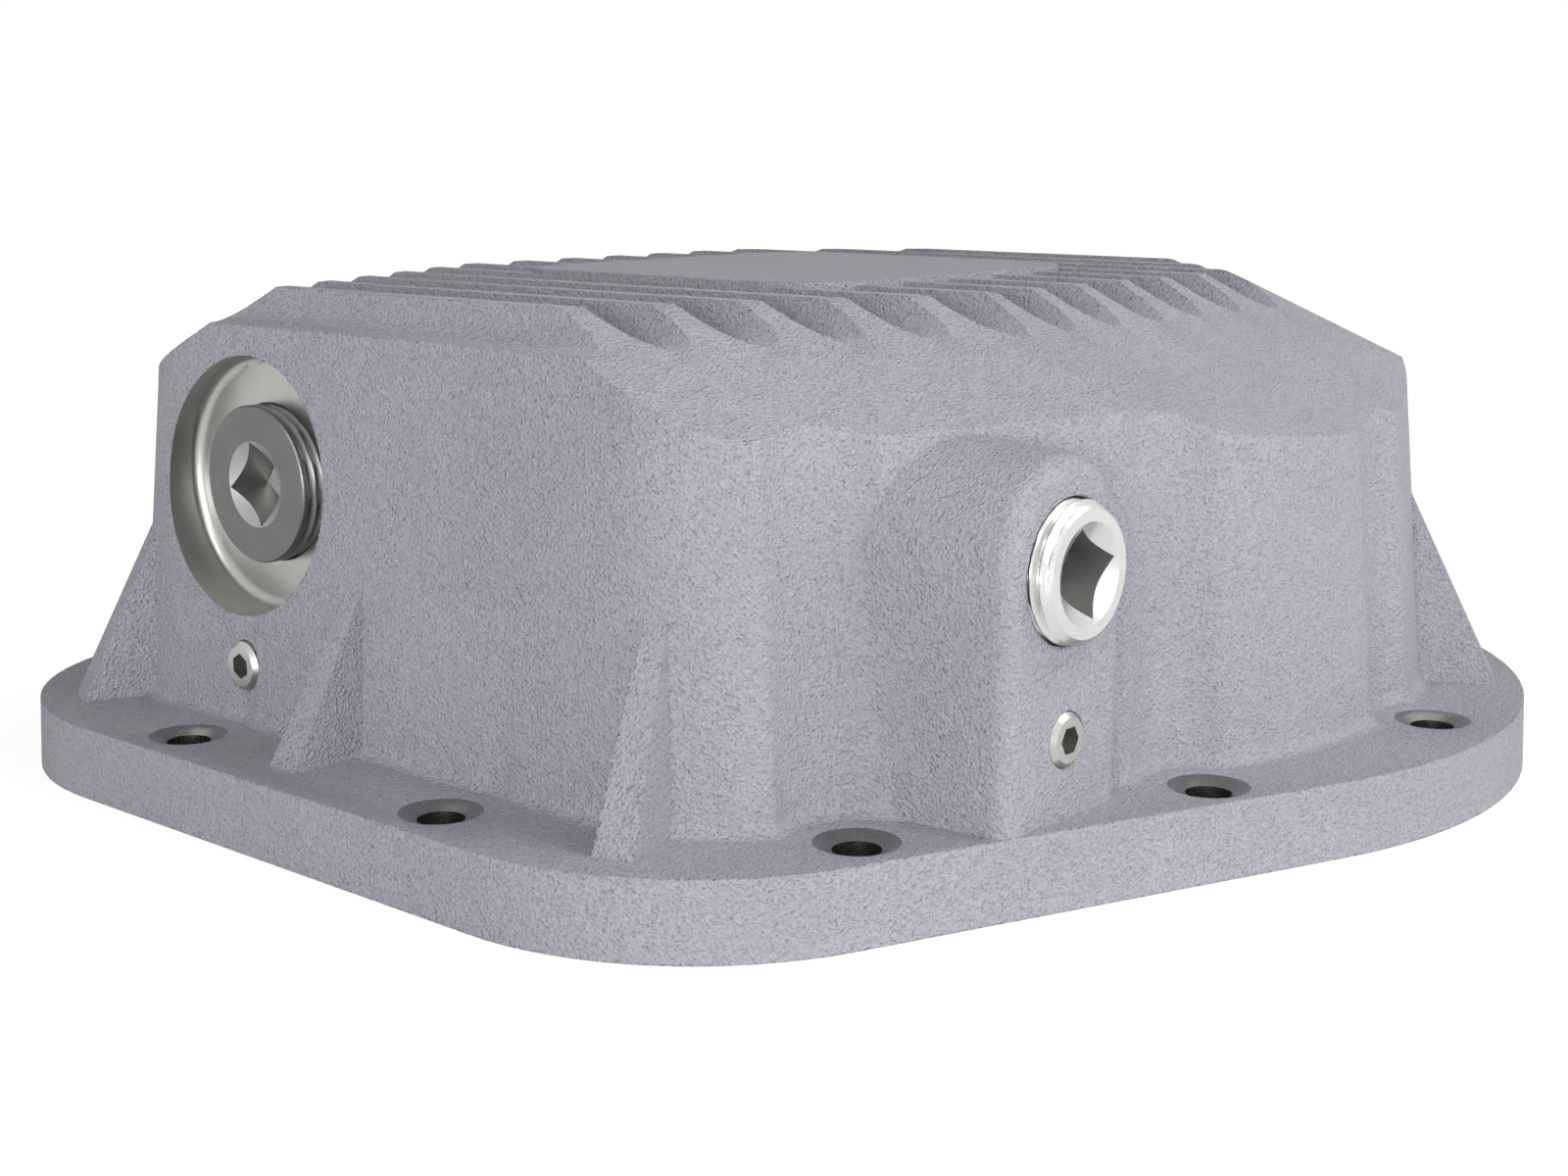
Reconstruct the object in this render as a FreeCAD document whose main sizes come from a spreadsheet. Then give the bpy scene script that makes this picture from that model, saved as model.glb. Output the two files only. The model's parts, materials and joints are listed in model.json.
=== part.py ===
import FreeCAD, Part
import math
import os
import re

import Sketcher
from FreeCAD import Placement, Rotation, Vector

# Differential cover: a finned aluminium casting that closes the back of an axle housing.
# It lies on its mating face, which is z = 0, with the fins on top. The fins run along X,
# the drain side faces -Y and the fill side faces +X. Lengths are in millimetres, angles in degrees.

# Driving dimensions
SIZES = {
    # Mating flange: a belt round six circles, three on each side of the plane x = 0. Inboard is
    # measured from the widest point, inset from the nearer end and setback from the +Y end.
    "flange_thickness": 15.0,
    "flange_draft": 2.7,
    "flange_half_width": 164.4,
    "flange_front_depth": 158.7,
    "flange_back_depth": 158.7,
    "flange_low_inboard": 103.1,
    "flange_low_radius": 60.0,
    "flange_side_setback": 137.7,
    "flange_side_radius": 115.0,
    "flange_high_inboard": 116.3,
    "flange_high_radius": 60.0,
    # Drafted wall inside a flat rim, measured at the mating face in the same way
    "wall_draft": 5.4,
    "wall_thickness": 8.0,
    "end_rim": 24.3,
    "side_rim": 22.4,
    "wall_low_inboard": 76.6,
    "wall_low_radius": 38.0,
    "wall_side_setback": 118.0,
    "wall_side_radius": 121.0,
    "wall_high_inboard": 92.7,
    "wall_high_radius": 44.4,
    "wall_foot_radius": 3.0,
    # Sloped facets round the top: each has a bearing, and at the fin crests it lies this far inside
    # the corner or side of the box round the wall
    "crest_height": 105.0,
    "facet_slope": 27.0,
    "near_facet_bearing": 24.0,
    "near_facet_inset": 97.4,
    "side_facet_inset": 63.0,
    "far_facet_bearing": 46.0,
    "far_facet_inset": 95.8,
    "back_facet_inset": 28.4,
    "front_clearance": 20.0,
    # Grooves between the fins
    "groove_pitch": 16.45,
    "first_groove_inset": 11.0,
    "groove_depth": 7.5,
    "groove_floor_radius": 5.8,
    "groove_draft": 6.0,
    # Bare raised panel in the middle of the fins
    "panel_half_width": 46.0,
    "panel_half_depth": 50.0,
    "panel_corner_radius": 14.0,
    "panel_rise": 1.0,
    # Cover bolts: places of the six on the +X side, the others are their mirror images
    "bolt_hole_radius": 4.45,
    "bolt_sink_radius": 7.9,
    "bolt_sink_depth": 1.35,
    "bolt_clearance_radius": 13.35,
    "bolt_clearance_draft": 4.0,
    "bolt_clearance_edge": 3.5,
    "end_bolt_across": 39.9,
    "end_bolt_inset": 12.25,
    "bolt_two_inboard": 56.16,
    "bolt_two_inset": 48.55,
    "bolt_three_inboard": 27.04,
    "bolt_three_setback": 198.99,
    "bolt_four_inboard": 16.23,
    "bolt_four_setback": 125.33,
    "bolt_five_inboard": 54.9,
    "bolt_five_inset": 52.6,
    # Gussets between wall and flange
    "gusset_foot_width": 9.0,
    "gusset_top_width": 4.6,
    "gusset_root": 6.0,
    "front_gusset_across": -4.0,
    "end_gusset_apex": 48.5,
    "end_gusset_reach": 24.0,
    "low_gusset_bearing": 70.0,
    "low_gusset_apex": 53.0,
    "low_gusset_reach": 22.5,
    "side_gusset_bearing": 25.0,
    "side_gusset_apex": 57.0,
    "side_gusset_reach": 24.2,
    # Fill side: an arched boss with a large plug over a small one
    "fill_face_inboard": 36.2,
    "fill_boss_length": 68.2,
    "fill_boss_inset": 83.3,
    "fill_boss_draft": 5.0,
    "fill_boss_half_width": 18.0,
    "fill_boss_edge": 4.0,
    "fill_arch_z": 63.0,
    "fill_plug_z": 60.5,
    "fill_port_z": 29.8,
    "fill_plug_radius": 13.35,
    "fill_plug_length": 20.0,
    "fill_plug_proud": 4.0,
    "fill_plug_mouth_radius": 9.75,
    "fill_plug_socket_depth": 11.0,
    "fill_plug_socket_turn": 57.7,
    # Drain side: a round recess with a sunk plug, and a small plug under it
    "drain_plug_x": -42.5,
    "drain_plug_z": 64.3,
    "drain_recess_radius": 27.0,
    "drain_recess_depth": 8.0,
    "drain_recess_floor_radius": 2.5,
    "drain_boss_radius": 31.0,
    "drain_boss_length": 28.0,
    "drain_plug_radius": 16.7,
    "drain_plug_length": 20.0,
    "drain_plug_sunk": 3.0,
    "drain_plug_mouth_radius": 9.25,
    "drain_plug_socket_depth": 5.9,
    "drain_plug_socket_turn": 45.0,
    "drain_port_x": -40.5,
    "drain_port_z": 26.8,
    "drain_port_boss_radius": 10.0,
    "drain_port_boss_length": 18.0,
    # Threads and sockets of the plugs
    "thread_clearance": 0.15,
    "thread_depth": 1.2,
    "plug_rim": 1.3,
    "plug_socket_width": 12.7,
    "socket_point_depth": 3.0,
    "socket_point_slope": 61.0,
    # Small plugs in the gauge ports
    "port_plug_radius": 5.15,
    "port_plug_length": 9.0,
    "port_plug_proud": 0.8,
    "port_plug_rim": 0.9,
    "port_bore_radius": 4.0,
    "port_hex_corner_radius": 2.75,
    "port_hex_depth": 5.0,
}

ALONG_X = Vector(1, 0, 0)
ALONG_Y = Vector(0, 1, 0)
UP = Vector(0, 0, 1)
UPRIGHT_FACING_X = Rotation(ALONG_Y, UP, ALONG_X, "ZXY")
Z_TO_PLUS_X = Rotation(UP, ALONG_X)
Z_TO_MINUS_Y = Rotation(UP, -ALONG_Y)

# Names that constraints use for the origin, the axes and the points of a curve
ORIGIN = (-1, 1)
X_AXIS, Y_AXIS = -1, -2
START, END, CENTRE = 1, 2, 3

# The wall's foot: its widest point, and its -Y and +Y ends
WALL_SIDE = "(flange_half_width - side_rim)"
WALL_FRONT = "(flange_front_depth - end_rim)"
WALL_BACK = "(flange_back_depth - end_rim)"

# Places of the cover bolts of the +X side, across and along
BOLTS = {
    "one": ("end_bolt_across", "end_bolt_inset - flange_front_depth"),
    "two": ("flange_half_width - bolt_two_inboard", "bolt_two_inset - flange_front_depth"),
    "three": ("flange_half_width - bolt_three_inboard", "flange_back_depth - bolt_three_setback"),
    "four": ("flange_half_width - bolt_four_inboard", "flange_back_depth - bolt_four_setback"),
    "five": ("flange_half_width - bolt_five_inboard", "flange_back_depth - bolt_five_inset"),
    "six": ("end_bolt_across", "flange_back_depth - end_bolt_inset"),
}

# The outer face of the fill boss, and how far along its plugs sit
FILL_FACE = "(flange_half_width - fill_face_inboard)"
FILL_ALONG = "(fill_boss_inset - flange_front_depth)"

doc = FreeCAD.newDocument("differential_cover")
sheet = doc.addObject("Spreadsheet::Sheet", "Sizes")
for row, (alias, number) in enumerate(SIZES.items(), start=1):
    sheet.set(f"A{row}", alias)
    sheet.set(f"B{row}", str(number))
    sheet.setAlias(f"B{row}", alias)
doc.recompute()


def linked(formula):
    """A formula with each size written as a reference to its cell in the sheet."""
    return re.sub(r"[a-z_]+", lambda m: f"Sizes.{m.group()}" if m.group() in SIZES else m.group(), formula)


def value(formula):
    """The number that a formula gives now."""
    result = sheet.evalExpression(linked(formula))
    return float(getattr(result, "Value", result))


def bind(thing, **formulas):
    """Ties properties to formulas. Two underscores in a keyword stand for a point in the path."""
    for path, formula in formulas.items():
        thing.setExpression(path.replace("__", "."), linked(formula))
    return thing


def place(thing, x="0", y="0", z="0", turn=None):
    """Puts an object at a point that follows the sheet, with a fixed turn."""
    thing.Placement = Placement(Vector(value(x), value(y), value(z)), turn or Rotation())
    return bind(thing, Placement__Base__x=x, Placement__Base__y=y, Placement__Base__z=z)


def new(kind, name, **formulas):
    """An object whose sizes are tied to the sheet."""
    return bind(doc.addObject(kind, name), **formulas)


def joined(name, *parts):
    fuse = doc.addObject("Part::MultiFuse", name)
    fuse.Shapes = list(parts)
    fuse.Refine = True
    return fuse


def gathered(name, parts):
    group = doc.addObject("Part::Compound", name)
    group.Links = list(parts)
    return group


def cut(name, base, *tools):
    """The base without its tools."""
    result = doc.addObject("Part::Cut", name)
    result.Base = base
    result.Tool = tools[0] if len(tools) == 1 else joined(name + "_tools", *tools)
    result.Refine = True
    return result


def common(name, base, tool):
    result = doc.addObject("Part::Common", name)
    result.Base = base
    result.Tool = tool
    return result


def mirrored(name, thing):
    """The mirror image of an object across the plane x = 0."""
    image = doc.addObject("Part::Mirroring", name)
    image.Source = thing
    image.Normal = ALONG_X
    return image


def extruded(name, profile, length, taper="0", way=UP, both_ways=False):
    body = new("Part::Extrusion", name, LengthFwd=length, TaperAngle=taper)
    body.Base = profile
    body.DirMode = "Custom"
    body.Dir = way
    body.Solid = True
    body.Symmetric = both_ways
    return body


def rounded(name, base, radius, chosen):
    """The base with a fillet on each edge that the test picks."""
    doc.recompute()
    size = value(radius)
    edges = enumerate(base.Shape.Edges, start=1)
    fillet = doc.addObject("Part::Fillet", name)
    fillet.Base = base
    fillet.Edges = [(number, size, size) for number, edge in edges if chosen(edge)]
    return fillet


def lies_at(low, high, level, slack=0.01):
    return abs(low - level) < slack and abs(high - level) < slack


def fixed(drawing, kind, *where, formula=None, name=None):
    """Adds a constraint. With a formula its value follows the sheet."""
    if formula is None:
        drawing.addConstraint(Sketcher.Constraint(kind, *where))
        return
    number = value(formula)
    if kind == "Angle":
        number = math.radians(number)
    index = drawing.addConstraint(Sketcher.Constraint(kind, *where, number))
    drawing.renameConstraint(index, name)
    drawing.setExpression(f"Constraints.{name}", linked(formula))


def belt(name, circles):
    """A closed outline round circles on both sides of x = 0, with straight runs between them.

    The circles are given from -Y to +Y for the +X side, as formulas for across, along and radius.
    """
    drawing = place(doc.addObject("Sketcher::SketchObject", name))
    right = [tuple(value(part) for part in circle) for circle in circles]
    rounds = right + [(-x, y, r) for x, y, r in reversed(right)]
    count = len(rounds)
    bearings = []
    for (x1, y1, r1), (x2, y2, r2) in zip(rounds, rounds[1:] + rounds[:1]):
        run = math.hypot(x2 - x1, y2 - y1)
        bearings.append(math.atan2(y2 - y1, x2 - x1) - math.acos((r1 - r2) / run))
    arcs = []
    for number, (x, y, r) in enumerate(rounds):
        ring = Part.Circle(Vector(x, y, 0), UP, r)
        arcs.append(drawing.addGeometry(Part.ArcOfCircle(ring, bearings[number - 1], bearings[number])))
    for number, (x, y, r) in enumerate(rounds):
        following = (number + 1) % count
        x2, y2, r2 = rounds[following]
        out = Vector(math.cos(bearings[number]), math.sin(bearings[number]), 0)
        run = Part.LineSegment(Vector(x, y, 0) + out * r, Vector(x2, y2, 0) + out * r2)
        line = drawing.addGeometry(run)
        fixed(drawing, "Tangent", arcs[number], END, line, START)
        fixed(drawing, "Tangent", line, END, arcs[following], START)
    for number, (across, along, radius) in enumerate(circles):
        arc, twin = arcs[number], arcs[count - 1 - number]
        fixed(drawing, "DistanceX", *ORIGIN, arc, CENTRE, formula=across, name=f"across_{number}")
        fixed(drawing, "DistanceY", *ORIGIN, arc, CENTRE, formula=along, name=f"along_{number}")
        fixed(drawing, "Radius", arc, formula=radius, name=f"radius_{number}")
        fixed(drawing, "Symmetric", arc, CENTRE, twin, CENTRE, Y_AXIS)
        fixed(drawing, "Equal", arc, twin)
    return drawing


def corner_reach(bearing, end, inset):
    """How far a facet at a bearing lies from the middle, given its inset from the wall's corner."""
    across = f"{WALL_SIDE} * cos({bearing} * 1 deg)"
    return f"{across} + {end} * sin({bearing} * 1 deg) - {inset}"


def hip(name, height, setback):
    """The eight-sided outline of the hipped top at a height, moved out from the crest outline."""
    words = ["front", "near", "side", "far", "back"]
    bearings = ["-90", "-near_facet_bearing", "0", "far_facet_bearing", "90"]
    reaches = [
        f"{WALL_FRONT} + front_clearance",
        f"{corner_reach('near_facet_bearing', WALL_FRONT, 'near_facet_inset')} + {setback}",
        f"{WALL_SIDE} - side_facet_inset + {setback}",
        f"{corner_reach('far_facet_bearing', WALL_BACK, 'far_facet_inset')} + {setback}",
        f"{WALL_BACK} - back_facet_inset + {setback}",
    ]
    sides = [(math.radians(value(bearing)), value(reach)) for bearing, reach in zip(bearings, reaches)]
    corners = []
    for (a1, d1), (a2, d2) in zip(sides, sides[1:]):
        spread = math.sin(a2 - a1)
        x = (d1 * math.sin(a2) - d2 * math.sin(a1)) / spread
        y = (d2 * math.cos(a1) - d1 * math.cos(a2)) / spread
        corners.append(Vector(x, y, 0))
    corners += [Vector(-corner.x, corner.y, 0) for corner in reversed(corners)]
    count = len(corners)
    drawing = place(doc.addObject("Sketcher::SketchObject", name), z=height)
    for here, there in zip(corners, corners[1:] + corners[:1]):
        drawing.addGeometry(Part.LineSegment(here, there))
    for number in range(count):
        fixed(drawing, "Coincident", number, END, (number + 1) % count, START)
    for number in range(count // 2):
        fixed(drawing, "Symmetric", number, START, count - 1 - number, START, Y_AXIS)
    front, near, side, far, back = count - 1, 0, 1, 2, 3
    fixed(drawing, "Vertical", side)
    fixed(drawing, "Angle", near, formula="90 - near_facet_bearing", name="near_angle")
    fixed(drawing, "Angle", far, formula="90 + far_facet_bearing", name="far_angle")
    for run, reach, word in zip((front, near, side, far, back), reaches, words):
        fixed(drawing, "Distance", *ORIGIN, run, formula=reach, name=f"{word}_reach")
    return drawing


def wall_circles(inset="0"):
    """The circles of the wall's outline at the mating face, shrunk by an inset."""
    circles = [
        (f"{WALL_SIDE} - wall_low_inboard", f"wall_low_radius - {WALL_FRONT}", "wall_low_radius"),
        (f"{WALL_SIDE} - wall_side_radius", f"{WALL_BACK} - wall_side_setback", "wall_side_radius"),
        (f"{WALL_SIDE} - wall_high_inboard", f"{WALL_BACK} - wall_high_radius", "wall_high_radius"),
    ]
    return [(across, along, f"{radius} - {inset}") for across, along, radius in circles]


def at_bolts(name, maker, height="0"):
    """The tool that the maker gives, at each bolt of the +X side and at their mirror images."""
    tools = []
    for word, (across, along) in BOLTS.items():
        tool = place(maker(f"{name}_{word}"), across, along, height)
        tools += [tool, mirrored(f"{name}_{word}_left", tool)]
    return tools


def front_wall_y(height):
    """Where the drafted -Y face stands at a height."""
    return f"-({WALL_FRONT} - {height} * tan(wall_draft * 1 deg))"


# Flange
flange_across = ["flange_low_inboard", "flange_side_radius", "flange_high_inboard"]
flange_along = [
    "flange_low_radius - flange_front_depth",
    "flange_back_depth - flange_side_setback",
    "flange_back_depth - flange_high_radius",
]
flange_radii = ["flange_low_radius", "flange_side_radius", "flange_high_radius"]
flange_across = [f"flange_half_width - {inboard}" for inboard in flange_across]
flange_outline = belt("flange_outline", list(zip(flange_across, flange_along, flange_radii)))
flange_plate = extruded("flange_plate", flange_outline, "flange_thickness", taper="-flange_draft")

# Drafted wall under a hipped top, scooped out beside each bolt for its head and spanner
wall_block = extruded("wall_block", belt("wall_outline", wall_circles()), "crest_height", taper="-wall_draft")
crest_outline = hip("crest_outline", "crest_height", "0")
top_hip = extruded("top_hip", crest_outline, "crest_height", taper="90 - facet_slope", way=-UP)
hipped_block = common("hipped_block", wall_block, top_hip)


def drafted_post(name, radius):
    """An upright cone that widens upwards, nearly as fast as the wall leans away from it."""
    post = new("Part::Cone", name, Radius1=radius, Height="crest_height")
    return bind(post, Radius2=f"{radius} + crest_height * tan(bolt_clearance_draft * 1 deg)")


def scoop(name):
    return drafted_post(name, "bolt_clearance_radius")


scooped_block = cut("scooped_block", hipped_block, gathered("scoops", at_bolts("scoop", scoop)))
sharp_shell = joined("sharp_shell", flange_plate, scooped_block)
rim_height = value("flange_thickness")


def is_scoop_edge(edge):
    """An upright edge that starts on the flange."""
    box = edge.BoundBox
    return lies_at(box.ZMin, box.ZMin, rim_height) and box.ZLength > rim_height


def is_foot_edge(edge):
    """An edge on the flange's top that isn't on the flange's own rim."""
    box = edge.BoundBox
    if not lies_at(box.ZMin, box.ZMax, rim_height):
        return False
    middle = edge.valueAt((edge.FirstParameter + edge.LastParameter) / 2)
    rim = min(flange_plate.Shape.Faces, key=lambda face: abs(face.CenterOfMass.z - rim_height)).OuterWire
    return rim.distToShape(Part.Vertex(middle))[0] > value("wall_foot_radius")


soft_shell = rounded("soft_shell", sharp_shell, "bolt_clearance_edge", is_scoop_edge)
footed_shell = rounded("footed_shell", soft_shell, "wall_foot_radius", is_foot_edge)


# Gussets: drafted ribs on a spoke from a wall circle, with a top that slopes down to the flange
def gusset(name, across, along, radius, bearing, apex, reach):
    root = f"({radius} - {apex} * tan(wall_draft * 1 deg) - gusset_root)"
    rib = new(
        "Part::Wedge", name,
        Xmin="0", Xmax=f"gusset_root + {reach}", X2min="0", X2max="gusset_root",
        Ymin="0", Ymax=f"{apex} - flange_thickness / 2",
        Zmin="-gusset_foot_width / 2", Zmax="gusset_foot_width / 2",
        Z2min="-gusset_top_width / 2", Z2max="gusset_top_width / 2",
    )
    turn = Rotation(UP, value(bearing)) * Rotation(ALONG_X, 90)
    x = f"{across} + {root} * cos({bearing} * 1 deg)"
    y = f"{along} + {root} * sin({bearing} * 1 deg)"
    return place(rib, x, y, "flange_thickness / 2", turn)


low, side, high = wall_circles()
end_gusset = ("end_gusset_apex", "end_gusset_reach")
front_gusset = gusset("front_gusset", "front_gusset_across", *low[1:], "-90", *end_gusset)
back_gusset = gusset("back_gusset", "0", *high[1:], "90", *end_gusset)
low_gusset = gusset("low_gusset", *low, "-low_gusset_bearing", "low_gusset_apex", "low_gusset_reach")
side_gusset = gusset("side_gusset", *side, "side_gusset_bearing", "side_gusset_apex", "side_gusset_reach")
gussets = [front_gusset, back_gusset, low_gusset, mirrored("low_gusset_left", low_gusset),
           side_gusset, mirrored("side_gusset_left", side_gusset)]


# Fill boss: an upright slab with a round top and soft front edges
def arch(name):
    drawing = doc.addObject("Sketcher::SketchObject", name)
    place(drawing, FILL_FACE, FILL_ALONG, "fill_arch_z", UPRIGHT_FACING_X)
    half, drop = value("fill_boss_half_width"), value("fill_arch_z - flange_thickness / 2")
    crown = drawing.addGeometry(Part.ArcOfCircle(Part.Circle(Vector(), UP, half), 0, math.pi))
    left = drawing.addGeometry(Part.LineSegment(Vector(-half, 0, 0), Vector(-half, -drop, 0)))
    foot = drawing.addGeometry(Part.LineSegment(Vector(-half, -drop, 0), Vector(half, -drop, 0)))
    right = drawing.addGeometry(Part.LineSegment(Vector(half, -drop, 0), Vector(half, 0, 0)))
    fixed(drawing, "Coincident", crown, CENTRE, *ORIGIN)
    fixed(drawing, "Tangent", crown, END, left, START)
    fixed(drawing, "Coincident", left, END, foot, START)
    fixed(drawing, "Coincident", foot, END, right, START)
    fixed(drawing, "Tangent", right, END, crown, START)
    fixed(drawing, "Horizontal", foot)
    fixed(drawing, "Radius", crown, formula="fill_boss_half_width", name="half_width")
    fixed(drawing, "DistanceY", left, END, *ORIGIN, formula="fill_arch_z - flange_thickness / 2", name="drop")
    return drawing


fill_arch = arch("fill_arch")
fill_slab = extruded("fill_slab", fill_arch, "fill_boss_length", taper="fill_boss_draft", way=-ALONG_X)
boss_face = value(FILL_FACE)


def is_boss_rim(edge):
    box = edge.BoundBox
    return lies_at(box.XMin, box.XMax, boss_face) and box.ZMax > rim_height


fill_boss = rounded("fill_boss", fill_slab, "fill_boss_edge", is_boss_rim)
outer_body = joined("outer_body", footed_shell, fill_boss, *gussets)


# Grooves: round floors with drafted sides, half a pitch off the middle, open at both ends
def groove_profile(name):
    drawing = place(doc.addObject("Sketcher::SketchObject", name), turn=UPRIGHT_FACING_X)
    radius, draft = value("groove_floor_radius"), math.radians(value("groove_draft"))
    depth = value("groove_depth")
    centre = Vector(0, radius, 0)
    floor = Part.ArcOfCircle(Part.Circle(centre, UP, radius), math.pi + draft, 2 * math.pi - draft)
    floor_line = drawing.addGeometry(floor)
    foot = Vector(radius * math.cos(draft), radius - radius * math.sin(draft), 0)
    height = 2 * depth
    top = Vector(foot.x + (height - foot.y) * math.tan(draft), height, 0)
    right = drawing.addGeometry(Part.LineSegment(foot, top))
    lid = drawing.addGeometry(Part.LineSegment(top, Vector(-top.x, top.y, 0)))
    left = drawing.addGeometry(Part.LineSegment(Vector(-top.x, top.y, 0), Vector(-foot.x, foot.y, 0)))
    fixed(drawing, "Tangent", floor_line, END, right, START)
    fixed(drawing, "Coincident", right, END, lid, START)
    fixed(drawing, "Coincident", lid, END, left, START)
    fixed(drawing, "Tangent", left, END, floor_line, START)
    fixed(drawing, "PointOnObject", floor_line, CENTRE, Y_AXIS)
    fixed(drawing, "Symmetric", lid, START, lid, END, Y_AXIS)
    fixed(drawing, "DistanceY", *ORIGIN, floor_line, CENTRE, formula="groove_floor_radius", name="middle")
    fixed(drawing, "Radius", floor_line, formula="groove_floor_radius", name="floor")
    fixed(drawing, "Angle", right, formula="90 - groove_draft", name="side")
    fixed(drawing, "DistanceY", *ORIGIN, lid, START, formula="2 * groove_depth", name="rise")
    return drawing


GROOVES = 15
floor_height = "crest_height - groove_depth"
groove_outline = groove_profile("groove_outline")
groove_length = "3 * flange_half_width"
first_groove_y = f"first_groove_inset - {WALL_FRONT}"
grooves = []
for step in range(GROOVES):
    groove = extruded(f"groove_{step}", groove_outline, groove_length, way=ALONG_X, both_ways=True)
    grooves.append(place(groove, y=f"{first_groove_y} + {step} * groove_pitch", z=floor_height))

# The -Y face cuts away the near side of the first groove, which is left as a ledge
ledge = new("Part::Box", "ledge", Length=groove_length, Width=groove_length, Height="crest_height")
place(ledge, f"-{groove_length} / 2", f"{first_groove_y} - {groove_length}", floor_height)
finned_body = cut("finned_body", outer_body, gathered("groove_tools", grooves + [ledge]))

# Hollow, open at the mating face: it keeps one wall thickness from the walls, facets and scoops
hollow_height = "crest_height - groove_depth - wall_thickness"
hollow_outline = belt("hollow_outline", wall_circles("wall_thickness"))
hollow_block = extruded("hollow_block", hollow_outline, hollow_height, taper="-wall_draft")
hollow_setback = f"(crest_height - ({hollow_height})) / tan(facet_slope) - wall_thickness / sin(facet_slope)"
hollow_top = hip("hollow_top", hollow_height, hollow_setback)
hollow_hip = extruded("hollow_hip", hollow_top, hollow_height, taper="90 - facet_slope", way=-UP)
hipped_hollow = common("hipped_hollow", hollow_block, hollow_hip)


def scoop_back(name):
    return drafted_post(name, "bolt_clearance_radius + wall_thickness")


drain_boss = new("Part::Cylinder", "drain_boss", Radius="drain_boss_radius", Height="drain_boss_length")
drain_boss_y = f"{front_wall_y('drain_plug_z')} + drain_boss_length"
place(drain_boss, "drain_plug_x", drain_boss_y, "drain_plug_z", Z_TO_MINUS_Y)
port_boss = new("Part::Cylinder", "port_boss", Radius="drain_port_boss_radius")
bind(port_boss, Height="drain_port_boss_length")
port_boss_y = f"{front_wall_y('drain_port_z')} + drain_port_boss_length"
place(port_boss, "drain_port_x", port_boss_y, "drain_port_z", Z_TO_MINUS_Y)
bosses = gathered("inner_bosses", at_bolts("scoop_back", scoop_back) + [drain_boss, port_boss])
hollow = cut("hollow", hipped_hollow, bosses)


# Bare panel that stands a little over the fins, from the groove floors up
def panel_outline(name):
    drawing = place(doc.addObject("Sketcher::SketchObject", name), z=floor_height)
    half_x, half_y, r = value("panel_half_width"), value("panel_half_depth"), value("panel_corner_radius")
    corners = [(1, -1, -90), (1, 1, 0), (-1, 1, 90), (-1, -1, 180)]
    arcs, runs = [], []
    for x, y, start in corners:
        ring = Part.Circle(Vector(x * (half_x - r), y * (half_y - r), 0), UP, r)
        arc = Part.ArcOfCircle(ring, math.radians(start), math.radians(start + 90))
        arcs.append(drawing.addGeometry(arc))
    for (x, y, start), (x2, y2, start2) in zip(corners, corners[1:] + corners[:1]):
        a, b = math.radians(start + 90), math.radians(start2)
        begin = Vector(x * (half_x - r) + r * math.cos(a), y * (half_y - r) + r * math.sin(a), 0)
        finish = Vector(x2 * (half_x - r) + r * math.cos(b), y2 * (half_y - r) + r * math.sin(b), 0)
        runs.append(drawing.addGeometry(Part.LineSegment(begin, finish)))
    for number, run in enumerate(runs):
        fixed(drawing, "Tangent", arcs[number], END, run, START)
        fixed(drawing, "Tangent", run, END, arcs[(number + 1) % len(arcs)], START)
    fixed(drawing, "Radius", arcs[0], formula="panel_corner_radius", name="corner")
    for arc in arcs[1:]:
        fixed(drawing, "Equal", arcs[0], arc)
    fixed(drawing, "Symmetric", arcs[0], CENTRE, arcs[2], CENTRE, *ORIGIN)
    fixed(drawing, "Vertical", runs[0])
    centre_x, centre_y = "panel_half_width - panel_corner_radius", "panel_half_depth - panel_corner_radius"
    fixed(drawing, "DistanceX", *ORIGIN, arcs[1], CENTRE, formula=centre_x, name="centre_x")
    fixed(drawing, "DistanceY", *ORIGIN, arcs[1], CENTRE, formula=centre_y, name="centre_y")
    return drawing


panel = extruded("panel", panel_outline("panel_edge"), "groove_depth + panel_rise")
solid_casting = joined("solid_casting", finned_body, panel)


# Holes of the cover bolts, sunk at the top
def bolt_hole(name):
    return new("Part::Cylinder", name, Radius="bolt_hole_radius", Height="flange_thickness")


def bolt_sink(name):
    sink = new("Part::Cone", name, Radius1="bolt_hole_radius", Radius2="bolt_sink_radius")
    return bind(sink, Height="bolt_sink_depth")


bolt_holes = at_bolts("bolt_hole", bolt_hole)
bolt_sinks = at_bolts("bolt_sink", bolt_sink, "flange_thickness - bolt_sink_depth")

# Drain side: recess with a soft floor edge, plug bore, port bore
recess_y = front_wall_y("drain_plug_z")
recess_blank = new("Part::Cylinder", "recess_blank", Radius="drain_recess_radius")
bind(recess_blank, Height="2 * drain_recess_depth")
place(recess_blank, "drain_plug_x", f"{recess_y} + drain_recess_depth", "drain_plug_z", Z_TO_MINUS_Y)
doc.recompute()
recess_floor = value(f"{recess_y} + drain_recess_depth")


def is_recess_floor_edge(edge):
    return lies_at(edge.BoundBox.YMin, edge.BoundBox.YMax, recess_floor)


drain_recess = rounded("drain_recess", recess_blank, "drain_recess_floor_radius", is_recess_floor_edge)
drain_bore = new("Part::Cylinder", "drain_bore", Radius="drain_plug_radius + thread_clearance")
bind(drain_bore, Height="2 * drain_boss_length")
place(drain_bore, "drain_plug_x", f"{recess_y} + 2 * drain_boss_length", "drain_plug_z", Z_TO_MINUS_Y)
port_face_y = front_wall_y("drain_port_z")
drain_port_y = f"{port_face_y} - port_plug_proud"


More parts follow.
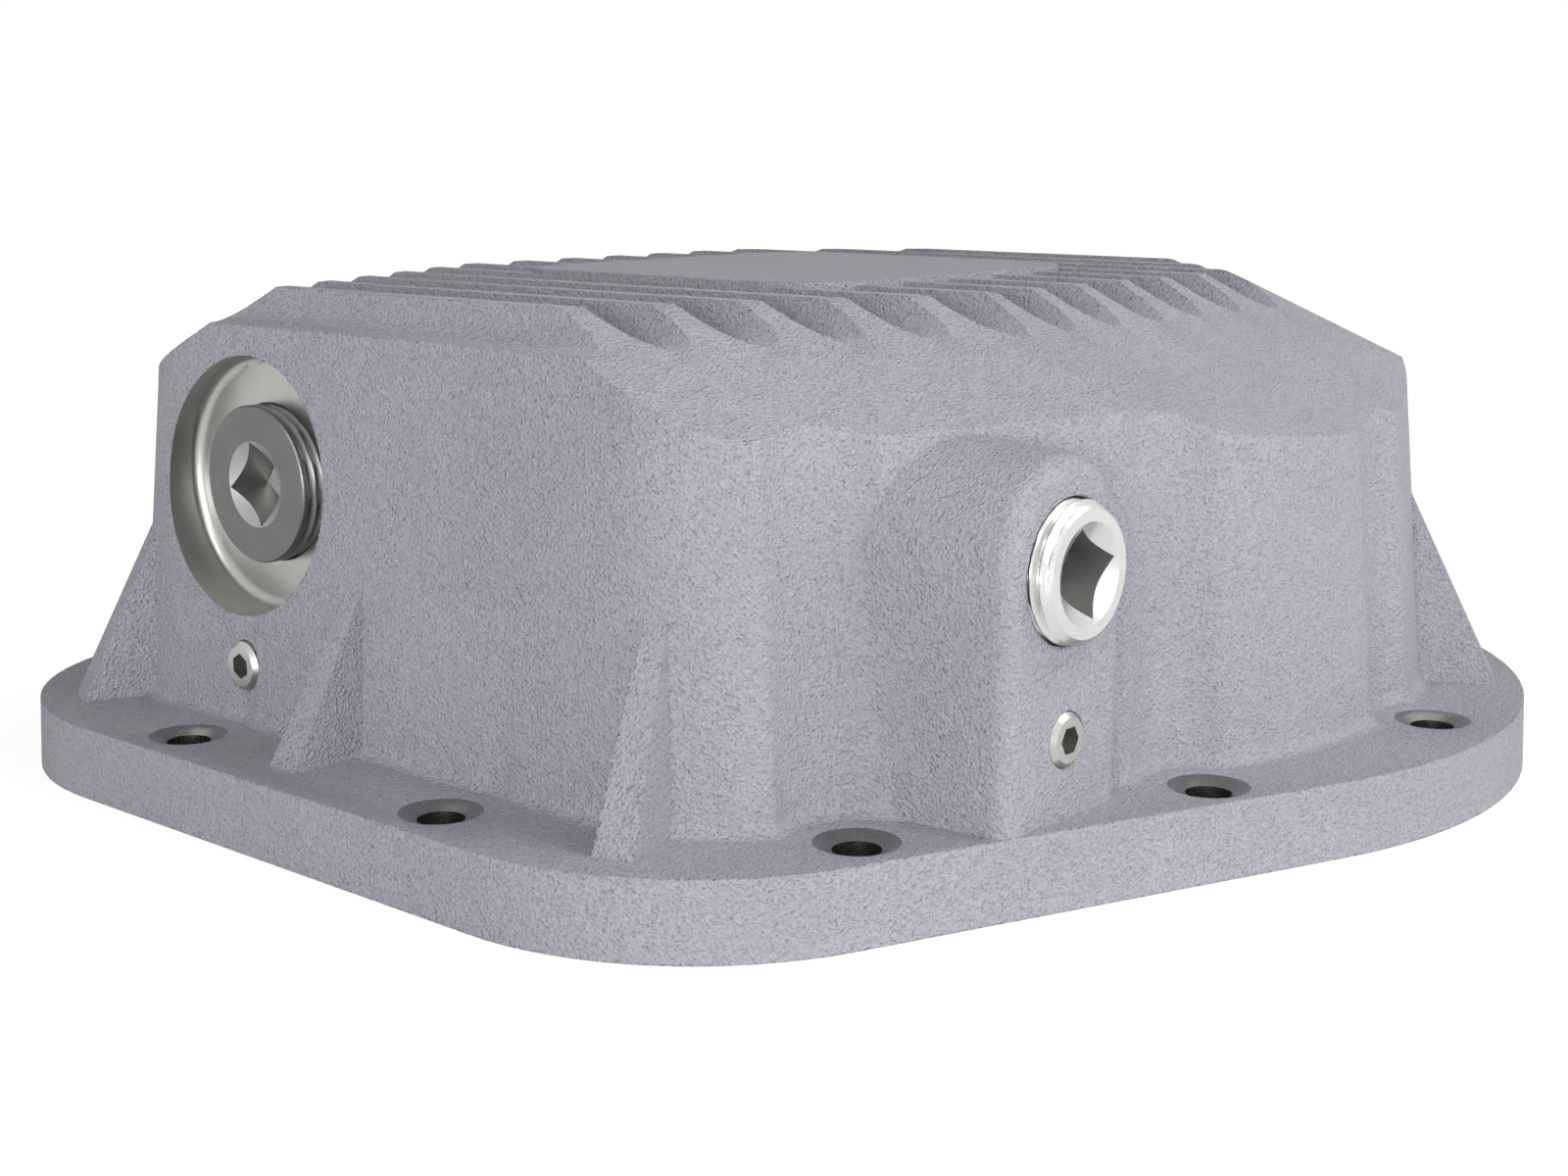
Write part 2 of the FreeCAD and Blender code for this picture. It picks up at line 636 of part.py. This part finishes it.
def port_bores(name, x, y, z, turn):
    """A threaded mouth for a small plug and the narrower hole behind it."""
    mouth = new("Part::Cylinder", name + "_mouth", Radius="port_plug_radius + thread_clearance")
    bind(mouth, Height="2 * port_plug_length")
    narrow = new("Part::Cylinder", name + "_hole", Radius="port_bore_radius", Height="6 * port_plug_length")
    away = turn.multVec(UP)
    depths = {mouth: "port_plug_length", narrow: "5 * port_plug_length"}
    for tool, depth in depths.items():
        place(tool, f"{x} - {away.x} * {depth}", f"{y} - {away.y} * {depth}", z, turn)
    return [mouth, narrow]


drain_port_bores = port_bores("drain_port", "drain_port_x", drain_port_y, "drain_port_z", Z_TO_MINUS_Y)

# Fill side: both bores open into the hollow
fill_bore = new("Part::Cylinder", "fill_bore", Radius="fill_plug_radius + thread_clearance")
bind(fill_bore, Height="2 * fill_boss_length")
place(fill_bore, f"{FILL_FACE} - fill_boss_length", FILL_ALONG, "fill_plug_z", Z_TO_PLUS_X)
fill_port_x = f"({FILL_FACE} + port_plug_proud)"
fill_port_bores = port_bores("fill_port", fill_port_x, FILL_ALONG, "fill_port_z", Z_TO_PLUS_X)

bores = bolt_holes + bolt_sinks + [drain_recess, drain_bore, fill_bore] + drain_port_bores + fill_port_bores
open_casting = cut("open_casting", solid_casting, hollow)
cover_casting = cut("cover_casting", open_casting, gathered("bore_tools", bores))


# Plugs: turned bodies with their outer face at local z = 0
def origin_plane(body, role):
    return next(part for part in body.Origin.OriginFeatures if part.Role == role)


def attached_sketch(body, name, role):
    drawing = body.newObject("Sketcher::SketchObject", name)
    drawing.AttachmentSupport = [(origin_plane(body, role), "")]
    drawing.MapMode = "FlatFace"
    return drawing


def turned(body, name, points):
    """A revolution of a closed outline, given as pairs of formulas for radius and height."""
    drawing = attached_sketch(body, name + "_outline", "XZ_Plane")
    spots = [Vector(value(r), value(z), 0) for r, z in points]
    for here, there in zip(spots, spots[1:] + spots[:1]):
        drawing.addGeometry(Part.LineSegment(here, there))
    for number, (r, z) in enumerate(points):
        fixed(drawing, "Coincident", number - 1 if number else len(points) - 1, END, number, START)
        if r == "0":
            fixed(drawing, "PointOnObject", number, START, Y_AXIS)
        else:
            fixed(drawing, "DistanceX", *ORIGIN, number, START, formula=r, name=f"radius_{number}")
        if z == "0":
            fixed(drawing, "PointOnObject", number, START, X_AXIS)
        else:
            fixed(drawing, "DistanceY", *ORIGIN, number, START, formula=z, name=f"height_{number}")
    result = body.newObject("PartDesign::Revolution", name)
    result.Profile = drawing
    result.ReferenceAxis = (drawing, ["V_Axis"])
    doc.recompute()
    return result


def socketed(body, name, sides, corner, depth, turn, start="0", taper="0"):
    """A pocket with equal sides, sunk from a depth below the outer face. Its sizes are formulas."""
    drawing = attached_sketch(body, name + "_outline", "XY_Plane")
    bind(drawing, AttachmentOffset__Base__z=f"-({start})")
    angles = [math.radians(value(turn) + (number + 0.5) * 360 / sides) for number in range(sides)]
    reach = value(corner)
    spots = [Vector(reach * math.cos(a), reach * math.sin(a), 0) for a in angles]
    for here, there in zip(spots, spots[1:] + spots[:1]):
        drawing.addGeometry(Part.LineSegment(here, there))
    rim = drawing.addGeometry(Part.Circle(Vector(), UP, reach), True)
    fixed(drawing, "Coincident", rim, CENTRE, *ORIGIN)
    fixed(drawing, "Radius", rim, formula=corner, name="corner")
    for number in range(sides):
        fixed(drawing, "Coincident", number, END, (number + 1) % sides, START)
        fixed(drawing, "PointOnObject", number, START, rim)
        if number:
            fixed(drawing, "Equal", 0, number)
    fixed(drawing, "Angle", sides - 1, formula=f"{turn} + 90", name="turn")
    pocket = body.newObject("PartDesign::Pocket", name)
    pocket.Profile = drawing
    bind(pocket, Length=depth, TaperAngle=taper)
    doc.recompute()
    return pocket


def large_plug(name, radius, length, mouth, depth, turn):
    """A headless plug with a square socket, which has a wide mouth and a pointed floor."""
    body = doc.addObject("PartDesign::Body", name)
    half = "plug_socket_width / 2"
    outline = [("0", f"-{length}"), (f"{radius} - thread_depth", f"-{length}")]
    outline += [(radius, f"-({length} - thread_depth)"), (radius, "-plug_rim")]
    outline += [(f"{radius} - plug_rim", "0"), (mouth, "0")]
    outline += [(half, f"-({mouth} - {half})"), ("0", f"-({mouth} - {half})")]
    turned(body, name + "_blank", outline)
    corner = f"{half} / cos(45)"
    socketed(body, name + "_socket", 4, corner, depth, turn)
    point = (corner, "socket_point_depth", turn, depth, "-socket_point_slope")
    body.Tip = socketed(body, name + "_point", 4, *point)
    return body


def small_plug(name):
    body = doc.addObject("PartDesign::Body", name)
    outline = [("0", "-port_plug_length"), ("port_plug_radius - port_plug_rim", "-port_plug_length")]
    outline += [("port_plug_radius", "-(port_plug_length - port_plug_rim)")]
    outline += [("port_plug_radius", "-port_plug_rim")]
    outline += [("port_plug_radius - port_plug_rim", "0"), ("0", "0")]
    turned(body, name + "_blank", outline)
    body.Tip = socketed(body, name + "_socket", 6, "port_hex_corner_radius", "port_hex_depth", "0")
    return body


def plug_sizes(word):
    """The sizes of a large plug that the sheet keeps under its own word."""
    sizes = ("radius", "length", "mouth_radius", "socket_depth", "socket_turn")
    return [f"{word}_plug_{size}" for size in sizes]


fill_plug = large_plug("fill_plug", *plug_sizes("fill"))
place(fill_plug, f"{FILL_FACE} + fill_plug_proud", FILL_ALONG, "fill_plug_z", Z_TO_PLUS_X)
drain_plug = large_plug("drain_plug", *plug_sizes("drain"))
place(drain_plug, "drain_plug_x", f"{recess_y} + drain_plug_sunk", "drain_plug_z", Z_TO_MINUS_Y)
fill_port_plug = small_plug("fill_side_port_plug")
place(fill_port_plug, fill_port_x, FILL_ALONG, "fill_port_z", Z_TO_PLUS_X)
drain_port_plug = small_plug("drain_side_port_plug")
place(drain_port_plug, "drain_port_x", drain_port_y, "drain_port_z", Z_TO_MINUS_Y)

# Checks on every object, then one file for each part
doc.recompute()
for thing in doc.Objects:
    if "Invalid" in thing.State or "Error" in thing.State:
        raise RuntimeError(f"{thing.Name} did not compute: {thing.State}")

PARTS = [cover_casting, fill_plug, drain_plug, fill_port_plug, drain_port_plug]
os.makedirs("parts", exist_ok=True)
for part in PARTS:
    shape = part.Shape
    if shape.isNull() or not shape.isValid() or len(shape.Solids) != 1:
        raise RuntimeError(f"{part.Label} is not one valid solid")
    shape.exportStep(f"parts/{part.Label}.step")
    print(part.Label, round(shape.Volume), "mm3", len(shape.Faces), "faces")
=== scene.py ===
import json
import math

import bmesh
import bpy
from mathutils import Matrix, Vector


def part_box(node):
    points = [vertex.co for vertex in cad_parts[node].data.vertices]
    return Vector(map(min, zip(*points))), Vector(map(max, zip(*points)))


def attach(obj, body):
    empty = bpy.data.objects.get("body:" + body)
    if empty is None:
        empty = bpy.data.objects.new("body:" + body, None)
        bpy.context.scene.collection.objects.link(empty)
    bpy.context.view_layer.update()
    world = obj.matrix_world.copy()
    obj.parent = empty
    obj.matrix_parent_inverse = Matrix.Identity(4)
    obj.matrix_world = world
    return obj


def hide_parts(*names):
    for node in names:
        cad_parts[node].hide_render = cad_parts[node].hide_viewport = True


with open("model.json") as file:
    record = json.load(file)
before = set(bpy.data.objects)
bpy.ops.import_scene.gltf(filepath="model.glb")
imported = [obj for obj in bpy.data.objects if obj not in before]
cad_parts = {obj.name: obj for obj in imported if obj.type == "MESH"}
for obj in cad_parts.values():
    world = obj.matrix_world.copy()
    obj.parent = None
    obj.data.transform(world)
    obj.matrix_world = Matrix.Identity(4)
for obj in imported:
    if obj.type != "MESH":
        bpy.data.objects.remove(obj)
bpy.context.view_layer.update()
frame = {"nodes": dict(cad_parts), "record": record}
nodes = frame["nodes"]

# Lengths are in metres and angles in degrees
MM = 0.001
HAIR = 0.01 * MM

# The two large plugs, with sockets as the photograph shows them. A plain land parts the face from
# the thread, and a dark mouth is as dark as the socket in it.
FILL_PLUG = {
    "outward": Vector((1, 0, 0)),
    "radius": 13.1 * MM,
    "length": 20 * MM,
    "chamfer": 1.5 * MM,
    "land": 0.0,
    "mouth_radius": 9.4 * MM,
    "dark_mouth": False,
    "socket_half": 6.1 * MM,
    "socket_depth": 11 * MM,
    "socket_turn": 58.6,
}
DRAIN_PLUG = {
    "outward": Vector((0, -1, 0)),
    "radius": 16.6 * MM,
    "length": 20 * MM,
    "chamfer": 0.3 * MM,
    "land": 0.9 * MM,
    "mouth_radius": 9.1 * MM,
    "dark_mouth": True,
    "socket_half": 6.35 * MM,
    "socket_depth": 9.65 * MM,
    "socket_turn": 54.3,
}

# The mouth of a socket is a cone whose side leans this far from the axis, and its floor is a blunt
# pyramid. A square's corner lies an eighth of a turn past the middle of its side.
MOUTH_ANGLE = 60
MOUTH_SLOPE = math.tan(math.radians(MOUTH_ANGLE))
PYRAMID_HEIGHT = 3 * MM
PYRAMID_TIP_HALF = 0.94 * MM
EIGHTH_TURN = 45

# The thread, with the steepness of its flanks, what keeps its crest flat, and the stretch over
# which it begins
THREAD_PITCH = 2.2 * MM
THREAD_DEPTH = 1.2 * MM
THREAD_START = 0.4 * THREAD_PITCH
THREAD_FLANK = 2.6
THREAD_CREST = 0.15
POINTS_AROUND = 96
ROWS_PER_TURN = 12

# How far the cutters reach out of the face, and at what share of its radius the cone ends
MOUTH_OVER = 1 * MM
SOCKET_OVER = 2 * MM
MOUTH_END_SHARE = 0.3

# Where the casting is machined: the drain recess about its plug, and the sunk holes at the bolts.
# Each radius reaches a little past its hole.
RECESS_RADIUS = 27.3 * MM
RECESS_FRONT = -126.5 * MM
RECESS_BACK = -99 * MM
FLANGE_TOP = 15 * MM
BOLT_SINK_RADIUS = 8.1 * MM

# A face looks along an axis where its normal has at least the first share of it, and runs along
# the axis where its normal has less than the second
LOOKS_ALONG = 0.9
RUNS_ALONG = 0.3

# Edges that turn by more than this many degrees stay sharp
SOLID_EDGE = 28
PLUG_EDGE = 30
WELD_DISTANCE = 0.002 * MM

# The part of a noise's range over which a ramp runs
RAMP_START = 0.3
RAMP_END = 0.7

# The cast skin. A scale is the number of features in a metre, and a bump a strength and a height.
CAST_COLOURS = (0.405, 0.405, 0.455, 1), (0.44, 0.44, 0.495, 1)
CAST_ROUGHNESS = 0.78, 0.6
CAST_SPECULAR = 0.2
CAST_ROUNDING = 0.7 * MM
WAVE_SCALE = 28.0
WAVE_BUMP = 0.22, 2 * MM
PIT_SCALE = 1500.0
PIT_BUMP = 0.6, 0.5 * MM
GRAIN_SCALE = 1750.0
GRAIN_TONES = 0.86, 1.03
GRAIN_TONES_END = 0.62
GRAIN_BUMP = 1.0, 0.95 * MM

# Machined metal: the share of its colour where it is darkest, and the shares of its roughness
# between which its tool marks move
TONE_SCALE = 150.0
DARK_SHARE = 0.9
MARK_SCALE = 2600.0
MARK_SHARES = 0.85, 1.2
MARK_BUMP = 0.08, 0.2 * MM


# Places that the frame gives
def outer_face(node, outward):
    """The middle of a node's face that looks outward, from the node's box."""
    low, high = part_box(node)
    half = (high - low) / 2
    return low + half + outward * abs(outward.dot(half))


def bolt_places():
    """Where the cover bolts of the +X side stand, from the record's bolt patterns."""
    places = set()
    for mount in frame["record"]["mounts"]:
        if mount["kind"] == "bolt_pattern":
            across = mount["dims"]["spacing_x_mm"] / 2 * MM
            along = mount["dims"].get("spacing_y_mm", 0) / 2 * MM
            places |= {(across, mount["pos_m"][1] + end) for end in (-along, along)}
    return places


RECESS_CENTRE = outer_face("drain_plug", DRAIN_PLUG["outward"])
BOLTS = bolt_places()


# Materials
def builder(tree):
    """A function that adds a node to a tree, with its links and its settings."""
    def add(kind, links=None, **settings):
        node = tree.nodes.new("ShaderNode" + kind)
        for key, value in settings.items():
            if hasattr(node, key):
                setattr(node, key, value)
            else:
                node.inputs[key.replace("_", " ")].default_value = value
        for target, source in (links or {}).items():
            tree.links.new(source, node.inputs[target])
        return node
    return add


def shader(name, **values):
    """A new material, its Principled node and the function that adds nodes to it."""
    material = bpy.data.materials.new(name)
    material.use_nodes = True
    surface = material.node_tree.nodes["Principled BSDF"]
    for socket, value in values.items():
        surface.inputs[socket.replace("_", " ")].default_value = value
    return material, surface, builder(material.node_tree)


def ramp_of(add, source, low, high, end=RAMP_END):
    """A ramp over a noise from a low to a high grey or colour."""
    ramp = add("ValToRGB", {"Fac": source})
    stops = ((RAMP_START, low), (end, high))
    for element, (position, colour) in zip(ramp.color_ramp.elements, stops):
        element.position = position
        element.color = colour if isinstance(colour, tuple) else (colour, colour, colour, 1)
    return ramp.outputs["Color"]


def bump_of(add, height, bump, under=None):
    """The normal that a bump makes of a height, over another normal where one is given."""
    strength, distance = bump
    links = {"Height": height} if under is None else {"Height": height, "Normal": under}
    return add("Bump", links, Strength=strength, Distance=distance).outputs["Normal"]


def cast_metal():
    """Raw cast aluminium: a fine pebbled grain from the sand, over faint larger waves."""
    material, surface, add = shader("cast_metal", Specular_IOR_Level=CAST_SPECULAR)
    link = material.node_tree.links.new
    place = add("TexCoord").outputs["Object"]
    grain = add("TexNoise", {"Vector": place}, Scale=GRAIN_SCALE, Detail=2.0).outputs["Fac"]
    pits = add("TexVoronoi", {"Vector": place}, Scale=PIT_SCALE).outputs["Distance"]
    waves = add("TexNoise", {"Vector": place}, Scale=WAVE_SCALE, Detail=4.0).outputs["Fac"]
    tone = ramp_of(add, waves, *CAST_COLOURS)
    speckle = ramp_of(add, grain, *GRAIN_TONES, end=GRAIN_TONES_END)
    mixed = add("Mix", {"A": tone, "B": speckle}, data_type="RGBA", blend_type="MULTIPLY", Factor=1.0)
    link(mixed.outputs["Result"], surface.inputs["Base Color"])
    link(ramp_of(add, grain, *CAST_ROUGHNESS), surface.inputs["Roughness"])
    normal = add("Bevel", samples=6, Radius=CAST_ROUNDING).outputs["Normal"]
    for height, bump in ((waves, WAVE_BUMP), (pits, PIT_BUMP), (grain, GRAIN_BUMP)):
        normal = bump_of(add, height, bump, normal)
    link(normal, surface.inputs["Normal"])
    return material


def machined_metal(name, colour, roughness):
    """Turned or milled metal: a slight change of tone, and very fine tool marks in the finish."""
    material, surface, add = shader(name, Metallic=1.0)
    link = material.node_tree.links.new
    place = add("TexCoord").outputs["Object"]
    tone = add("TexNoise", {"Vector": place}, Scale=TONE_SCALE, Detail=3.0).outputs["Fac"]
    dark = tuple(DARK_SHARE * part for part in colour)
    link(ramp_of(add, tone, dark + (1,), colour + (1,)), surface.inputs["Base Color"])
    marks = add("TexNoise", {"Vector": place}, Scale=MARK_SCALE, Detail=2.0).outputs["Fac"]
    smooth, rough = (roughness * share for share in MARK_SHARES)
    link(ramp_of(add, marks, smooth, rough), surface.inputs["Roughness"])
    link(bump_of(add, marks, MARK_BUMP), surface.inputs["Normal"])
    return material


cast = cast_metal()
machined = machined_metal("machined_metal", (0.47, 0.463, 0.448), roughness=0.34)
bright = machined_metal("bright_metal", (0.66, 0.66, 0.65), roughness=0.3)
grey = machined_metal("grey_metal", (0.17, 0.17, 0.168), roughness=0.36)
steel = machined_metal("steel_metal", (0.5, 0.495, 0.48), roughness=0.32)
# The bolt sinks take a darker copy of the machined metal: painted shade in the sunk holes.
sunk = machined_metal("sink_metal_painted_shade", (0.3, 0.296, 0.285), roughness=0.26)
# The sockets take a grey of their own, darker than the bright fill plug, as painted shade there
inside = machined_metal("socket_metal", (0.4, 0.4, 0.39), roughness=0.45)


# Finishes on a mesh
def paint(mesh, materials, choose=None):
    """Smooths a mesh and gives it materials, the first one all over where nothing chooses."""
    mesh.materials.clear()
    for material in materials:
        mesh.materials.append(material)
    for face in mesh.polygons:
        face.use_smooth = True
        face.material_index = choose(face) if choose else 0


def sharpen(item, angle):
    """Keeps the edges of an object sharp where its faces turn by more than an angle."""
    split = item.modifiers.new("edges", "EDGE_SPLIT")
    split.split_angle = math.radians(angle)


def dress(node, materials, choose=None):
    """Gives a solid of the frame its materials and a smooth look."""
    paint(node.data, materials, choose)
    weld = node.modifiers.new("weld", "WELD")
    weld.merge_threshold = WELD_DISTANCE
    sharpen(node, SOLID_EDGE)


# The casting: grain on the cast skin, bare metal where a tool has been, painted shade in the sinks
CAST, MACHINED, SUNK = 0, 1, 2


def finish_of(face):
    """Which finish a face of the casting has, from where it lies."""
    centre = face.center
    if centre.z < HAIR:
        return MACHINED
    from_recess = math.hypot(centre.x - RECESS_CENTRE.x, centre.z - RECESS_CENTRE.z)
    if from_recess < RECESS_RADIUS and centre.y < RECESS_BACK:
        on_wall = centre.y <= RECESS_FRONT and abs(face.normal.y) >= LOOKS_ALONG
        return CAST if on_wall else MACHINED
    if centre.z > FLANGE_TOP - HAIR:
        return CAST
    at_bolt = any(math.hypot(abs(centre.x) - x, centre.y - y) < BOLT_SINK_RADIUS for x, y in BOLTS)
    return SUNK if at_bolt else CAST


dress(nodes["cover_casting"], [cast, machined, sunk], finish_of)
for name in ("fill_side_port_plug", "drain_side_port_plug"):
    dress(nodes[name], [steel])


# The large plugs: threaded shank, turned face, conical mouth and square socket
def ring(form, radius, height, count=POINTS_AROUND, turn=0.0):
    """A ring of points at a height."""
    angles = [turn + 2 * math.pi * number / count for number in range(count)]
    return [form.verts.new((radius * math.cos(a), radius * math.sin(a), height)) for a in angles]


def skin(form, rings):
    """Faces between rings that follow each other, with the ends closed."""
    for low, high in zip(rings, rings[1:]):
        for number in range(len(low)):
            after = (number + 1) % len(low)
            form.faces.new((low[number], low[after], high[after], high[number]))
    form.faces.new(reversed(rings[0]))
    form.faces.new(rings[-1])
    bmesh.ops.recalc_face_normals(form, faces=form.faces[:])
    return form


def mesh_object(name, form):
    """An object in the scene that takes its mesh from a form and frees the form."""
    mesh = bpy.data.meshes.new(name)
    form.to_mesh(mesh)
    form.free()
    item = bpy.data.objects.new(name, mesh)
    bpy.context.scene.collection.objects.link(item)
    return item


def thread_cut(height, part):
    """How deep the thread is at a height and a part of a turn, as a share of its full depth."""
    phase = (height / THREAD_PITCH - part) % 1.0
    return max(0.0, min(1.0, THREAD_FLANK * abs(phase - 0.5) - THREAD_CREST))


def shank(facts):
    """The outside of a plug with a helical thread and a chamfered rim, its face at z = 0."""
    form = bmesh.new()
    count = int(facts["length"] / THREAD_PITCH) * ROWS_PER_TURN
    rings = []
    for step in range(count + 1):
        height = -facts["length"] * (1 - step / count)
        begun = min(1.0, max(0.0, -(height + facts["land"]) / THREAD_START))
        chamfer = max(0.0, facts["chamfer"] + height)
        circle = ring(form, 1.0, height)
        for number, point in enumerate(circle):
            thread = THREAD_DEPTH * begun * thread_cut(height, number / POINTS_AROUND)
            reach = facts["radius"] - max(chamfer, thread)
            point.co.x *= reach
            point.co.y *= reach
        rings.append(circle)
    return skin(form, rings)


def mouth_cutter(facts):
    """The countersink of the socket."""
    form = bmesh.new()
    mouth = facts["mouth_radius"]
    end = MOUTH_END_SHARE * mouth
    bottom = ring(form, end, (end - mouth) / MOUTH_SLOPE)
    top = ring(form, mouth + MOUTH_OVER * MOUTH_SLOPE, MOUTH_OVER)
    return skin(form, [bottom, top])


def socket_cutter(facts):
    """The square hole with its pointed floor."""
    form = bmesh.new()
    depth = facts["socket_depth"]
    side = facts["socket_half"]
    levels = [(PYRAMID_TIP_HALF, -depth - PYRAMID_HEIGHT), (side, -depth), (side, SOCKET_OVER)]
    angle = math.radians(facts["socket_turn"] + EIGHTH_TURN)
    return skin(form, [ring(form, math.sqrt(2) * half, height, 4, angle) for half, height in levels])


def cut_away(item, tool):
    """Takes a tool object out of an item for good."""
    cut = item.modifiers.new("cut", "BOOLEAN")
    cut.operation = "DIFFERENCE"
    cut.object = tool
    cut.solver = "EXACT"
    depsgraph = bpy.context.evaluated_depsgraph_get()
    mesh = bpy.data.meshes.new_from_object(item.evaluated_get(depsgraph))
    item.modifiers.clear()
    item.data = mesh
    bpy.data.objects.remove(tool)


def in_socket(face, facts):
    """Whether a face belongs to the square hole, or to its mouth where that is as dark."""
    centre = face.center
    if math.hypot(centre.x, centre.y) > facts["mouth_radius"]:
        return False
    if centre.z > -HAIR or centre.z < HAIR - facts["length"]:
        return False
    in_hole = abs(face.normal.z) < RUNS_ALONG or centre.z < -facts["socket_depth"]
    return facts["dark_mouth"] or in_hole


def large_plug(name, facts, material, node):
    """A plug with its socket that stands for a node, with its face where the node's is."""
    item = mesh_object(name, shank(facts))
    cut_away(item, mesh_object(name + "_mouth", mouth_cutter(facts)))
    cut_away(item, mesh_object(name + "_socket", socket_cutter(facts)))
    # The square hole, and a dark mouth, take the socket grey: painted shade in the fill plug's hole
    paint(item.data, [material, inside], lambda face: int(in_socket(face, facts)))
    turn = Vector((0, 0, 1)).rotation_difference(facts["outward"]).to_matrix().to_4x4()
    face = outer_face(node, facts["outward"])
    item.data.transform(Matrix.Translation(face) @ turn)
    sharpen(item, PLUG_EDGE)
    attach(item, "root")
    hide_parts(node)


large_plug("threaded_fill_plug", FILL_PLUG, bright, "fill_plug")
large_plug("threaded_drain_plug", DRAIN_PLUG, grey, "drain_plug")


# Floor, backdrop and light. The floor's glow grows over a stretch of distance from the origin, and
# the lamps look at the middle of the cover.
WHITE = (1, 1, 1, 1)
FLOOR_COLOUR = (0.8, 0.8, 0.8, 1)
FLOOR_REACH = 12.0
FLOOR_GAP = 0.2 * MM
GLOW_STARTS = 0.25
GLOW_ENDS = 1.1
GLOW_NEAR = 0.82
GLOW_FAR = 1.0
SHADE_TAKEN = 0.6
MIDDLE = Vector((0, 0, 0.05))
LAMP_DISTANCE = 1.8
LAMP_SIZE = 0.9


def seen_directly(add):
    """1 for camera, glossy and transmission rays, which see the white background."""
    rays = add("LightPath").outputs
    seen = rays["Is Camera Ray"]
    for kind in ("Is Glossy Ray", "Is Transmission Ray"):
        seen = add("Math", {0: seen, 1: rays[kind]}, operation="MAXIMUM").outputs[0]
    return seen


def floor_material():
    """Pale paint that looks white to the rays that see it and keeps a faint shadow.

    Those rays see the paint with part of its light taken away, and a white glow on top that grows
    with the distance from the object.
    """
    material, surface, add = shader("pale_floor", Roughness=0.9, Base_Color=FLOOR_COLOUR)
    seen = seen_directly(add)
    distance = add("VectorMath", {0: add("TexCoord").outputs["Object"]}, operation="LENGTH")
    glow = add(
        "MapRange", {"Value": distance.outputs["Value"]},
        From_Min=GLOW_STARTS, From_Max=GLOW_ENDS, To_Min=GLOW_NEAR, To_Max=GLOW_FAR,
    )
    level = add("Math", {0: seen, 1: glow.outputs["Result"]}, operation="MULTIPLY")
    light = add("Emission", {"Strength": level.outputs[0]})
    taken = add("Math", {0: seen}, operation="MULTIPLY")
    taken.inputs[1].default_value = SHADE_TAKEN
    dark = add("Emission", Strength=0.0)
    dimmed = add("MixShader", {0: taken.outputs[0], 1: surface.outputs[0], 2: dark.outputs[0]})
    total = add("AddShader", {0: dimmed.outputs[0], 1: light.outputs[0]})
    output = material.node_tree.nodes["Material Output"]
    material.node_tree.links.new(total.outputs[0], output.inputs["Surface"])
    return material


def white_floor():
    """A square floor just under the cover."""
    corners = [(-1, -1), (1, -1), (1, 1), (-1, 1)]
    mesh = bpy.data.meshes.new("floor")
    mesh.from_pydata([(FLOOR_REACH * x, FLOOR_REACH * y, 0) for x, y in corners], [], [(0, 1, 2, 3)])
    mesh.materials.append(floor_material())
    floor = bpy.data.objects.new("floor", mesh)
    floor.location.z = -FLOOR_GAP
    bpy.context.scene.collection.objects.link(floor)


def soft_world(strength):
    """A world that lights softly and looks white to the rays that see it."""
    world = bpy.data.worlds.new("studio")
    bpy.context.scene.world = world
    world.use_nodes = True
    tree = world.node_tree
    add = builder(tree)
    ambient = tree.nodes["Background"]
    ambient.inputs["Color"].default_value = WHITE
    ambient.inputs["Strength"].default_value = strength
    white = add("Background", Color=WHITE, Strength=1.0)
    mixer = add("MixShader", {0: seen_directly(add), 1: ambient.outputs[0], 2: white.outputs[0]})
    tree.links.new(mixer.outputs[0], tree.nodes["World Output"].inputs["Surface"])


def lamp(name, bearing, rise, power):
    """A square soft box that lights the cover from a bearing, counted from +X, and a rise."""
    light = bpy.data.lights.new(name, "AREA")
    light.shape = "SQUARE"
    light.size = LAMP_SIZE
    light.energy = power
    item = bpy.data.objects.new(name, light)
    turn, lift = math.radians(bearing), math.radians(rise)
    away = Vector((math.cos(lift) * math.cos(turn), math.cos(lift) * math.sin(turn), math.sin(lift)))
    item.location = MIDDLE + LAMP_DISTANCE * away
    item.rotation_euler = (-away).to_track_quat("-Z", "Y").to_euler()
    bpy.context.scene.collection.objects.link(item)


white_floor()
soft_world(strength=0.2)
lamp("top_light", bearing=40, rise=55, power=10.5)
lamp("side_light", bearing=10, rise=15, power=12.6)
lamp("front_light", bearing=-60, rise=5, power=22.5)
lamp("fill_light", bearing=-50, rise=50, power=7.1)

# Camera at the photograph's place. The lens and the sensor are in millimetres.
CAMERA_PLACE = (0.33765, -0.392475, 0.13533)
CAMERA_DOWN = 11.665
CAMERA_TURN = 41.1
LENS = 50
SENSOR_WIDTH = 36
NEAREST_SEEN = 0.01

camera_data = bpy.data.cameras.new("camera")
camera_data.lens = LENS
camera_data.sensor_width = SENSOR_WIDTH
camera_data.clip_start = NEAREST_SEEN
camera = bpy.data.objects.new("camera", camera_data)
camera.location = CAMERA_PLACE
camera.rotation_euler = (math.radians(90 - CAMERA_DOWN), 0, math.radians(CAMERA_TURN))
bpy.context.scene.collection.objects.link(camera)
bpy.context.scene.camera = camera

bpy.context.scene.view_settings.view_transform = "Standard"
